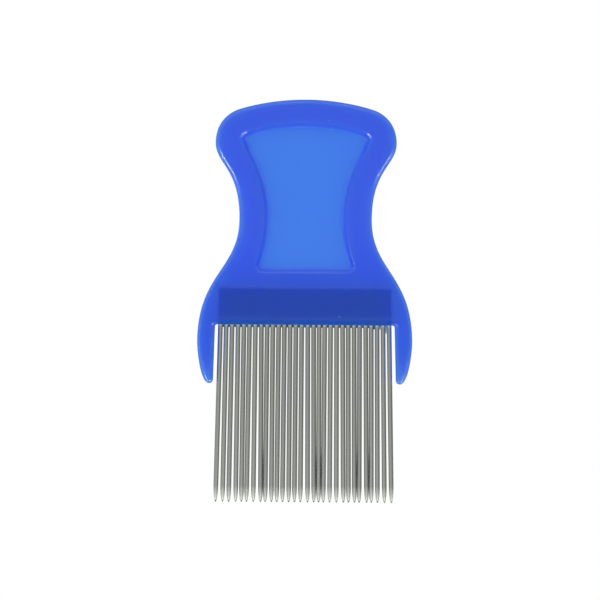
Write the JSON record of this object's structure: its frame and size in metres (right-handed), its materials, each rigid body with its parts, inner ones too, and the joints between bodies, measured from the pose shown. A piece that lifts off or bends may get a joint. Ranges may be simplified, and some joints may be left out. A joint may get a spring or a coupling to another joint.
{
  "type": "flea comb",
  "caption": "Flat flea comb: a waisted translucent plastic handle with guard horns and one row of fine round steel pins.",
  "frame": {"origin": "under the middle of the comb's length and width, on the plane of the back face that it lies on", "axes": "+X across the row of teeth, +Y from the tooth tips towards the crown of the handle, +Z through the thickness, up from the face it lies on"},
  "size_m": [0.0534, 0.1, 0.005],
  "materials": {
    "blue_plastic": "polished translucent blue",
    "pin_steel": "drawn and polished wire"
  },
  "bodies": {
    "root": {"handle": "blue_plastic", "tooth_01": "pin_steel", "tooth_02": "pin_steel", "tooth_03": "pin_steel", "tooth_04": "pin_steel", "tooth_05": "pin_steel", "tooth_06": "pin_steel", "tooth_07": "pin_steel", "tooth_08": "pin_steel", "tooth_09": "pin_steel", "tooth_10": "pin_steel", "tooth_11": "pin_steel", "tooth_12": "pin_steel", "tooth_13": "pin_steel", "tooth_14": "pin_steel", "tooth_15": "pin_steel", "tooth_16": "pin_steel", "tooth_17": "pin_steel", "tooth_18": "pin_steel", "tooth_19": "pin_steel", "tooth_20": "pin_steel", "tooth_21": "pin_steel", "tooth_22": "pin_steel", "tooth_23": "pin_steel", "tooth_24": "pin_steel", "tooth_25": "pin_steel", "tooth_26": "pin_steel", "tooth_27": "pin_steel", "tooth_28": "pin_steel", "tooth_29": "pin_steel", "tooth_30": "pin_steel"}
  },
  "joints": []
}
